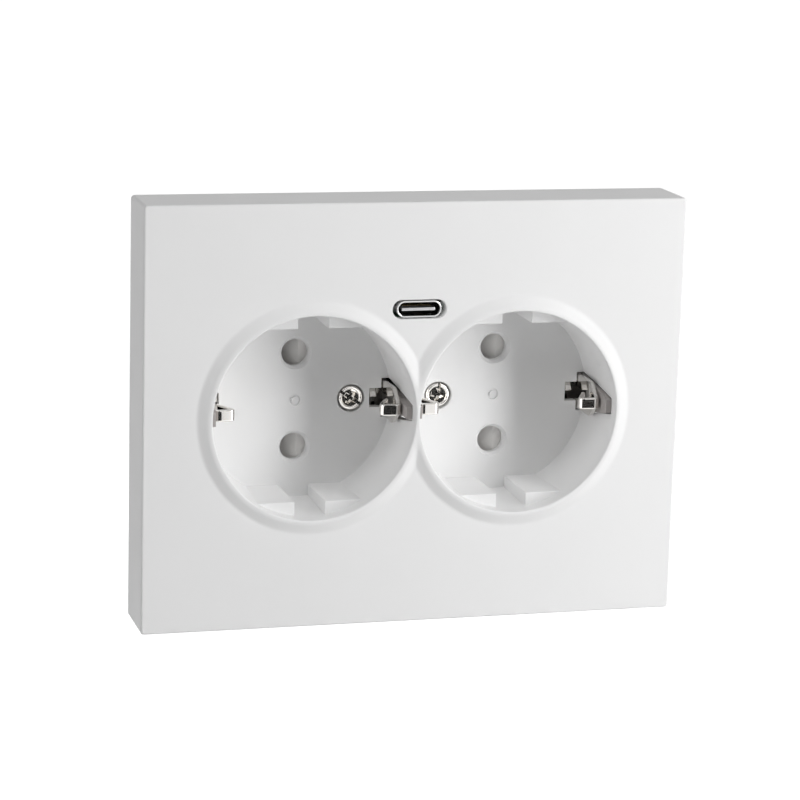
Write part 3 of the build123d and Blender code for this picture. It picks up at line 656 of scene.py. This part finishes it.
def cover_half():
    """Closed right half of the cover, open only where the left half joins it."""
    half = Shape()
    collar_start = rim_radius + rim_fillet
    collar_edge = collar_start + collar_spread
    angles, nearest = well_angles(acos(-well_x / collar_edge))

    # Rim, collar and the flat front round them
    radii = [rim_radius + rim_fillet * (1 - cos(turn)) for turn in quarter(rim_steps)]
    radii += [collar_start + collar_spread * step / collar_steps for step in range(1, collar_steps + 1)]
    half.strip([[front_point(angle, radius) for angle in angles] for radius in radii], closed=True)
    outside = angles[len(angles) - nearest:] + angles[: nearest + 1]
    collar_foot = [front_point(angle, collar_edge) for angle in outside]
    port = port_loop(port_edge, -plate_depth)
    half.polygon(plate_loop(plate_edge_radius, -plate_depth) + collar_foot + port)

    # Well: a tapered wall, a soft corner and the floor
    wall_slope = (rim_radius - floor_radius) / (floor_front_y - crest_y)
    wall = [(rim_radius, crest_y + rim_fillet)]
    for turn in quarter(floor_steps):
        y = floor_front_y - floor_fillet * (1 - sin(turn))
        wall.append((floor_radius - floor_fillet * (1 - cos(turn)) + wall_slope * (floor_front_y - y), y))
    loops = [[(well_x + r * cos(a), y, r * sin(a)) for a in angles] for r, y in wall]
    half.strip(loops, closed=True)
    half.polygon(loops[-1])

    # Drum behind the plate, and its back
    limit = acos(-well_x / drum_radius)
    turns = [limit * (2 * i / drum_steps - 1) for i in range(drum_steps + 1)]
    drum = [(max(0, well_x + drum_radius * cos(a)), drum_radius * sin(a)) for a in turns]
    half.strip([[(x, y, z) for x, z in drum] for y in (plate_back_y, floor_back_y)], closed=False)
    half.polygon([(x, floor_back_y, z) for x, z in drum])

    # Sides, back edge and inside of the plate
    sides = []
    for turn in quarter(plate_edge_steps):
        y = -plate_depth + plate_edge_radius * (1 - cos(turn))
        sides.append(plate_loop(plate_edge_radius * (1 - sin(turn)), y))
    half.strip(sides + [plate_loop(0, 0)], closed=False)
    inner_x = plate_width / 2 - plate_wall
    inner_z = plate_height / 2 - plate_wall
    inner = [(0, inner_z), (inner_x, inner_z), (inner_x, -inner_z), (0, -inner_z)]
    half.polygon(plate_loop(0, 0) + [(x, 0, z) for x, z in reversed(inner)])
    half.strip([[(x, y, z) for x, z in inner] for y in (0, plate_back_y)], closed=False)
    back = [(x, plate_back_y, z) for x, z in inner + drum]
    half.polygon(back + port_loop(0, plate_back_y))

    # Aperture of the port, with a rounded edge
    rounded = port_loop(port_edge_middle, -plate_depth + port_edge_middle)
    straight = [port_loop(0, -plate_depth + port_edge), port_loop(0, plate_back_y)]
    half.strip([port, rounded, *straight], closed=False)
    return half


def both_halves(half):
    """A right half and its mirror image."""
    whole = Shape()
    for side in (1, -1):
        whole.add([(side * x, y, z) for x, y, z in half.points], half.faces)
    return whole


def arc_through(first, middle, last, steps):
    """Points of the circle through three points, from the first to the last."""
    (ax, ay), (bx, by), (cx, cy) = first, middle, last
    d = 2 * (ax * (by - cy) + bx * (cy - ay) + cx * (ay - by))
    a2, b2, c2 = ax * ax + ay * ay, bx * bx + by * by, cx * cx + cy * cy
    ux = (a2 * (by - cy) + b2 * (cy - ay) + c2 * (ay - by)) / d
    uy = (a2 * (cx - bx) + b2 * (ax - cx) + c2 * (bx - ax)) / d
    radius = hypot(ax - ux, ay - uy)
    start = atan2(ay - uy, ax - ux)
    sweep = (atan2(cy - uy, cx - ux) - start + pi) % (2 * pi) - pi
    turns = [start + sweep * i / steps for i in range(steps + 1)]
    return [(ux + radius * cos(a), uy + radius * sin(a)) for a in turns]


def round_cuts():
    """Pin holes with their lips, screw holes and the round marks in the middle of the floors."""
    cuts = Shape()
    pin_hole = [(pin_lip_radius, cut_front_y), (pin_lip_radius, floor_front_y)]
    pin_hole += [(pin_throat_radius, floor_front_y + pin_lip_depth), (pin_throat_radius, cut_back_y)]
    screw_lip_radius = screw_hole_radius + screw_hole_lip
    screw_hole = [(screw_lip_radius, cut_front_y), (screw_lip_radius, floor_front_y)]
    screw_hole += [(screw_hole_radius, floor_front_y + screw_hole_lip), (screw_hole_radius, cut_back_y)]
    mark_y = floor_front_y + mark_depth
    mark = [(mark_core_radius, cut_front_y), (mark_core_radius, mark_y), (mark_radius - mark_edge, mark_y)]
    mark += [(mark_radius, mark_y - mark_edge), (mark_radius, cut_front_y), mark[0]]
    for side in (-1, 1):
        for z in (-pin_z, pin_z):
            cuts.lathe(pin_hole, side * well_x, z, hole_segments)
        cuts.lathe(screw_hole, side * screw_x, 0, hole_segments)
        cuts.lathe(mark, side * well_x, 0, mark_segments)
    return cuts


def finger_cuts():
    """Slots in the floors for the fingers of the earth clips."""
    cuts = Shape()
    for well_side in (-1, 1):
        for side in (-1, 1):
            x = well_side * well_x
            inner = x + side * finger_slot_inner
            outer = x + side * (leg_slot_inner + overlap)
            finger = rectangle(inner, -finger_slot_half, outer, finger_slot_half)
            cuts.prism(finger, floor_front_y - slot_reach, cut_back_y, at_depth)
    return cuts


def post_cuts():
    """Leaf-shaped slots in the outer walls and in the wall between the wells."""
    cuts = Shape()
    upper = arc_through(*post_slot, post_steps)
    back_y = floor_back_y + cut_reach
    leaf = [(back_y, post_slot[0][1])] + upper
    leaf += [(y, -z) for y, z in reversed(leaf)]
    for side in (-1, 1):
        outer = well_x + drum_radius + overrun
        cuts.prism(leaf, side * (well_x + leg_slot_inner), side * outer, across)
    cuts.prism(leaf, leg_slot_inner - well_x, well_x - leg_slot_inner, across)
    return cuts


def guide_blocks():
    """Blocks at the top and bottom of each well, with a slot between each pair."""
    blocks = Shape()
    arc_radius = rim_radius + overlap
    slot_turn = asin(guide_slot_half / arc_radius)
    flat_turn = acos(guide_flat_z / arc_radius)
    turns = [slot_turn + (flat_turn - slot_turn) * i / guide_steps for i in range(guide_steps + 1)]
    segment = [(guide_slot_half, guide_flat_z)]
    segment += [(arc_radius * sin(a), arc_radius * cos(a)) for a in turns]
    for well_side in (-1, 1):
        for side in (-1, 1):
            for level in (-1, 1):
                outline = [(well_side * well_x + side * u, level * v) for u, v in segment]
                blocks.prism(outline, guide_front_y, floor_front_y + overrun, at_depth)
    return blocks


def back_ribs():
    """Screw bosses behind the floors, and ribs from the drums to the side walls."""
    ribs = Shape()
    half_boss = boss_width / 2
    half_rib = rib_thickness / 2
    rib_front_y = plate_back_y - overlap
    rib_back_y = plate_back_y + rib_height
    for side in (-1, 1):
        screw = side * screw_x
        boss = rectangle(screw - half_boss, -half_boss, screw + half_boss, half_boss)
        ribs.prism(boss, floor_back_y, boss_back_y, at_depth)
        x = side * well_x
        inner = drum_radius - rib_root
        outer = plate_height / 2 - plate_wall + overlap
        for level in (-1, 1):
            upright = rectangle(x - half_rib, level * inner, x + half_rib, level * outer)
            ribs.prism(upright, rib_front_y, rib_back_y, at_depth)
        outer_x = plate_width / 2 - plate_wall + overlap
        level_rib = rectangle(side * (well_x + inner), -half_rib, side * outer_x, half_rib)
        ribs.prism(level_rib, rib_front_y, rib_back_y, at_depth)
    return ribs


cover = make_object("cover_moulding", both_halves(cover_half()))
cut(
    cover,
    make_object("round_cuts", round_cuts()),
    make_object("slot_cuts", finger_cuts()),
    make_object("post_cuts", post_cuts()),
)
guides = make_object("guides", guide_blocks(), guide_edge, steps=3)
ribs = make_object("ribs", back_ribs(), rib_edge, steps=1)
join(cover, guides, ribs)
smooth(cover)
dress(cover, "white_shell", "front_cover")


# Cover screws: a raised rim round a dished face, with a cross recess and a slot across the whole head


def screw_profile():
    """Half of a screw's outline, from the middle of its head to its tip."""
    profile = [(head_rim_middle - head_rim_half - head_rim_foot, head_floor_y)]
    for i in range(head_rim_steps + 1):
        turn = radians(180 * i / head_rim_steps)
        radius = head_rim_middle - head_rim_half * cos(turn)
        profile.append((radius, head_floor_y - head_rim_rise * sin(turn)))
    profile += [(head_radius, floor_back_y), (shank_radius, floor_back_y)]
    return profile + [(shank_radius, shank_end_y), (shank_tip_radius, shank_tip_y)]


def recess_scale(y):
    """Scale of the cross recess at a depth: it narrows towards its floor."""
    share = (y - recess_front_y) / (recess_floor_y - recess_front_y)
    return recess_front_scale + (recess_floor_scale - recess_front_scale) * share


screws = Shape()
recesses = Shape()
head_slots = Shape()
cross = [(cross_core, cross_core), (cross_half, cross_reach), (-cross_half, cross_reach)]
cross += [(-cross_core, cross_core), (-cross_reach, cross_half), (-cross_reach, -cross_half)]
cross += [(-u, -v) for u, v in cross]
head_slot = rectangle(-head_slot_reach, -head_slot_half, head_slot_reach, head_slot_half)
for side, turn in screw_turns.items():
    x = side * screw_x
    screws.lathe(screw_profile(), x, 0, hole_segments)
    turned_cross = [turned(u, v, turn) for u, v in cross]
    recesses.prism(
        turned_cross,
        recess_front_y,
        recess_floor_y,
        lambda u, v, y: (x + recess_scale(y) * u, y, recess_scale(y) * v),
    )
    turned_slot = [turned(u, v, turn) for u, v in head_slot]
    turned_slot = [(x + u, v) for u, v in turned_slot]
    head_slots.prism(turned_slot, recess_front_y, head_floor_y + head_slot_depth, at_depth)
cover_screws = make_object("cross_screws", screws)
cut(cover_screws, make_object("recesses", recesses), make_object("head_slots", head_slots))
smooth(cover_screws)
dress(cover_screws, "bright_nickel", "cover_screws")


# Earth clips: one bent strip for each well, wide at the legs and narrow at the folded fingers


def bent_path(corners):
    """Points along a path of (u, v, radius) corners with rounded bends."""
    path = [Vector(corners[0][:2])]
    for before, (u, v, radius), after in zip(corners, corners[1:], corners[2:]):
        corner = Vector((u, v))
        back = (Vector(before[:2]) - corner).normalized()
        on = (Vector(after[:2]) - corner).normalized()
        half_angle = back.angle(on) / 2
        reach = radius / tan(half_angle)
        centre = corner + (back + on).normalized() * radius / sin(half_angle)
        start = corner + back * reach - centre
        sweep = start.angle_signed(corner + on * reach - centre)
        steps = max(clip_least_bend_steps, round(abs(sweep) / radians(clip_bend_turn)))
        for i in range(steps + 1):
            path.append(centre + Vector(turned(start.x, start.y, -sweep * i / steps)))
    path.append(Vector(corners[-1][:2]))
    return path


def divided(path, step):
    """The same path with points no further apart than the step, and none that nearly coincide."""
    dense = [path[0]]
    for point in path[1:]:
        start = dense[-1]
        gap = (point - start).length
        for i in range(1, int(gap / step) + 1):
            dense.append(start.lerp(point, i * step / gap))
        if (point - dense[-1]).length > clip_least_step:
            dense.append(point)
    return dense


def strip_half_width(u, y, on_finger):
    """Half the strip's width: narrow finger, curved shoulder, wide leg, and the strip behind the floor."""
    if on_finger:
        return finger_half
    if abs(u) < clip_outer - shoulder_inset:
        return strip_half
    rise = min(1, max(0, (y - shoulder_y) / shoulder_length))
    return finger_half + (leg_half - finger_half) * rise * rise * (3 - 2 * rise)


def strip_section(point, out, half, x):
    """Section of the strip with rounded corners, square to its path."""
    section = []
    for out_sign, z_sign, start in ((1, 1, 0), (-1, 1, 90), (-1, -1, 180), (1, -1, 270)):
        for step in range(clip_corner_steps + 1):
            turn = radians(start + 90 * step / clip_corner_steps)
            p = point + out * (out_sign * (clip_thickness / 2 - clip_edge) + clip_edge * cos(turn))
            section.append((x + p.x, p.y, z_sign * (half - clip_edge) + clip_edge * sin(turn)))
    return section


def earth_clips(name, x):
    """Both clips of one well, with the strip that joins them and the tabs beside their fingers."""
    end = [(clip_tip, clip_tip_y, 0), (clip_nose, clip_nose_y + clip_nose_slope, clip_inner_bend)]
    end += [(clip_outer, clip_nose_y, clip_outer_bend), (clip_outer, clip_strip_y, clip_foot_bend)]
    path = divided(bent_path([(-u, v, radius) for u, v, radius in end] + end[::-1]), clip_step)
    noses = [i for i, point in enumerate(path) if point.y < clip_nose_y + clip_nose_depth]
    first_nose = max(i for i in noses if path[i].x < 0)
    second_nose = min(i for i in noses if path[i].x > 0)
    sections = []
    for i, point in enumerate(path):
        along = (path[min(i + 1, len(path) - 1)] - path[max(i - 1, 0)]).normalized()
        half = strip_half_width(point.x, point.y, i <= first_nose or i >= second_nose)
        sections.append(strip_section(point, Vector((along.y, -along.x)), half, x))
    strip = Shape()
    strip.strip(sections, closed=True)
    strip.polygon(sections[0])
    strip.polygon(sections[-1])
    clips = make_object(name, strip)
    tabs = Shape()
    tab = [(tab_front_y, tab_low), (tab_shoulder_y, tab_high)]
    tab += [(clip_strip_y, tab_high), (clip_strip_y, tab_low)]
    for side in (-1, 1):
        tabs.prism(tab, x + side * tab_inner, x + side * tab_outer, across)
    join(clips, make_object("tabs", tabs, tab_edge))
    smooth(clips, clip_sharp_from)
    return clips


for side, x in (("left", -well_x), ("right", well_x)):
    dress(earth_clips(f"earth_clips_{side}", x), "bright_nickel", f"earth_bracket_{side}")


# Charging port: steel edge of the tongue and the contact strips on it

tip = Shape()
half_width = tongue_width / 2 + tip_side
tip_middle = usb_z - tip_drop
outline = rectangle(-half_width, tip_middle - tip_half_height, half_width, tip_middle + tip_half_height)
tip.prism(outline, tongue_front_y - tip_front, tongue_front_y + tip_back, at_depth)
tongue_tip = make_object("tongue_tip", tip, tip_edge)
smooth(tongue_tip)
dress(tongue_tip, "spring_steel")

contacts = Shape()
for face in (-1, 1):
    surface = usb_z + face * tongue_thickness / 2
    low, high = sorted((surface, surface + face * contact_height))
    for place in range(contact_count):
        middle = (place - (contact_count - 1) / 2) * contact_pitch
        outline = rectangle(middle - contact_half, low, middle + contact_half, high)
        contacts.prism(outline, tongue_front_y + contact_start, tongue_front_y + contact_end, at_depth)
contact_strips = make_object("contact_strips", contacts)
smooth(contact_strips)
dress(contact_strips, "brass")


# Return springs of the shutters: coils with closed end turns, as long as the spring solids


def coil(shape, start, end, y, z):
    """Wire coil along X."""
    open_turns = spring_turns - spring_closed_turns
    open_pitch = (end - start - spring_wire - spring_closed_turns * spring_wire) / open_turns
    steps = spring_turns * coil_steps
    loops = []
    x = start + spring_wire / 2
    for i in range(steps + 1):
        angle = 2 * pi * i / coil_steps
        loop = []
        for j in range(wire_sides):
            side = 2 * pi * j / wire_sides
            radius = spring_radius + spring_wire / 2 * cos(side)
            along = spring_wire / 2 * sin(side)
            loop.append((x + along, y + radius * cos(angle), z + radius * sin(angle)))
        loops.append(loop)
        closed = i < coil_steps or i >= steps - coil_steps
        x += (spring_wire if closed else open_pitch) / coil_steps
    shape.strip(loops, closed=True)
    shape.polygon(loops[0])
    shape.polygon(loops[-1])


for side in ("left", "right"):
    spring_low, spring_high = (Vector(corner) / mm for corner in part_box(f"shutter_springs_{side}"))
    coils = Shape()
    for z in (-pin_z, pin_z):
        coil(coils, spring_low.x, spring_high.x, (spring_low.y + spring_high.y) / 2, z)
    springs = make_object(f"return_springs_{side}", coils)
    smooth(springs)
    dress(springs, "spring_steel", f"shutter_springs_{side}")
    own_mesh(springs)


# Solids that show as they are: soft edges and their finish


def soften(obj, width):
    """Round the edges of a solid without changing its mesh."""
    weld = obj.modifiers.new("weld", "WELD")
    weld.merge_threshold = solid_weld_gap * mm
    flat = obj.modifiers.new("flat", "DECIMATE")
    flat.decimate_type = "DISSOLVE"
    flat.angle_limit = radians(solid_flat_below)
    bevel = obj.modifiers.new("edges", "BEVEL")
    bevel.width = width * mm
    bevel.segments = 2
    bevel.limit_method = "ANGLE"
    bevel.angle_limit = radians(solid_rounded_from)
    bevel.harden_normals = False


node_slots = {part["node"]: part["material_slot"] for part in frame["record"]["subparts"]}
for node, obj in frame["nodes"].items():
    obj.data.materials.clear()
    obj.data.materials.append(finishes[node_slots[node]])
    if node in soft_edges:
        soften(obj, soft_edges[node])


# Camera

camera = bpy.data.objects.new("camera", bpy.data.cameras.new("camera"))
camera.data.sensor_width = sensor_width
camera.data.lens = camera_lens
camera.data.clip_start = camera_clip_start * mm
camera.rotation_mode = "QUATERNION"
camera.rotation_quaternion = camera_forward.to_track_quat("-Z", "Y") @ Quaternion((0, 0, 1), camera_roll)
camera.location = camera_place
bpy.context.collection.objects.link(camera)
bpy.context.scene.camera = camera


# Studio


def area_light(name, place, target, width, height, power):
    """Soft lamp that faces its target, with places and sizes in metres."""
    lamp = bpy.data.lights.new(name, "AREA")
    lamp.shape = "RECTANGLE"
    lamp.size = width
    lamp.size_y = height
    lamp.energy = power
    obj = bpy.data.objects.new(name, lamp)
    obj.location = place
    obj.rotation_mode = "QUATERNION"
    obj.rotation_quaternion = (Vector(target) - Vector(place)).to_track_quat("-Z", "Y")
    bpy.context.collection.objects.link(obj)


def white_for_eye(nodes, links, seen, elsewhere):
    """Strength for rays that show the surroundings, and another for the light that they give."""
    path = nodes.new("ShaderNodeLightPath")
    either = nodes.new("ShaderNodeMath")
    either.operation = "MAXIMUM"
    any_ray = nodes.new("ShaderNodeMath")
    any_ray.operation = "MAXIMUM"
    links.new(path.outputs["Is Camera Ray"], either.inputs[0])
    links.new(path.outputs["Is Glossy Ray"], either.inputs[1])
    links.new(either.outputs["Value"], any_ray.inputs[0])
    links.new(path.outputs["Is Transmission Ray"], any_ray.inputs[1])
    return spread(nodes, links, any_ray.outputs["Value"], elsewhere, seen)


def pale_floor():
    """Pale floor that looks white, keeps the object's shadow and is clear from below."""
    material, nodes, links, shader = new_material("pale_floor")
    cloud = noise(nodes, links, scale=4)
    links.new(ramp(nodes, links, cloud, (0.78, 0.78, 0.78), (0.8, 0.8, 0.8)), shader.inputs["Base Color"])
    shader.inputs["Roughness"].default_value = 0.9
    shader.inputs["Emission Color"].default_value = (1, 1, 1, 1)
    links.new(white_for_eye(nodes, links, floor_seen, 0.0), shader.inputs["Emission Strength"])
    side_seen = nodes.new("ShaderNodeNewGeometry")
    clear = nodes.new("ShaderNodeBsdfTransparent")
    choice = nodes.new("ShaderNodeMixShader")
    links.new(side_seen.outputs["Backfacing"], choice.inputs["Fac"])
    links.new(shader.outputs["BSDF"], choice.inputs[1])
    links.new(clear.outputs["BSDF"], choice.inputs[2])
    links.new(choice.outputs["Shader"], nodes["Material Output"].inputs["Surface"])
    return material


def dark_card():
    """Matt black."""
    material, nodes, links, shader = new_material("dark_card")
    cloud = noise(nodes, links, scale=6)
    blacks = ramp(nodes, links, cloud, (0.004, 0.004, 0.004), (0.006, 0.006, 0.006))
    links.new(blacks, shader.inputs["Base Color"])
    shader.inputs["Roughness"].default_value = 1.0
    return material


def stage_piece(name, shape, material):
    """Piece of the studio, which isn't part of the object."""
    obj = make_object(name, shape)
    obj.data.materials.append(material)
    obj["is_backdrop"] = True
    return obj


area_light("key", (0.345, -0.311, 0.07), (0, 0, 0), width=0.1, height=0.44, power=1.56)
area_light("left_fill", (-0.564, -0.205, 0.0), (0, 0, 0), width=0.25, height=0.3, power=0.6)
area_light("top_fill", (-0.04, -0.32, 0.48), (0, 0, 0), width=0.66, height=0.3, power=1.0)
area_light("back_fill", (0.3, 0.55, -0.1), (0, 0, -0.02), width=0.3, height=0.1, power=1.0)

ground = Shape()
ground.polygon([(x, y, floor_z) for x, y in rectangle(-floor_half, -floor_half, floor_half, floor_half)])
stage_piece("floor", ground, pale_floor())

# Dark cards that show only in reflections: one behind the camera and a low one round the front
high_card = Shape()
high_outline = rectangle(high_card_x[0], high_card_z[0], high_card_x[1], high_card_z[1])
high_card.polygon([(x, high_card_y, z) for x, z in high_outline])
low_card = Shape()
turns = [radians(low_card_start + low_card_sweep * i / low_card_steps) for i in range(low_card_steps + 1)]
rows = [[(low_card_radius * sin(a), -low_card_radius * cos(a), z) for a in turns] for z in low_card_z]
low_card.strip(rows, closed=False)
black = dark_card()
for name, shape in (("high_card", high_card), ("low_card", low_card)):
    card = stage_piece(name, shape, black)
    card.visible_camera = False
    card.visible_diffuse = False
    card.visible_shadow = False

bpy.context.scene.view_settings.view_transform = "Standard"
world = bpy.data.worlds.new("studio")
bpy.context.scene.world = world
world.use_nodes = True
world_nodes = world.node_tree.nodes
world_links = world.node_tree.links
background = world_nodes["Background"]
background.inputs["Color"].default_value = (1, 1, 1, 1)
world_strength = white_for_eye(world_nodes, world_links, world_seen, world_light)
world_links.new(world_strength, background.inputs["Strength"])


# Bounds of the dressed part

low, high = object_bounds()
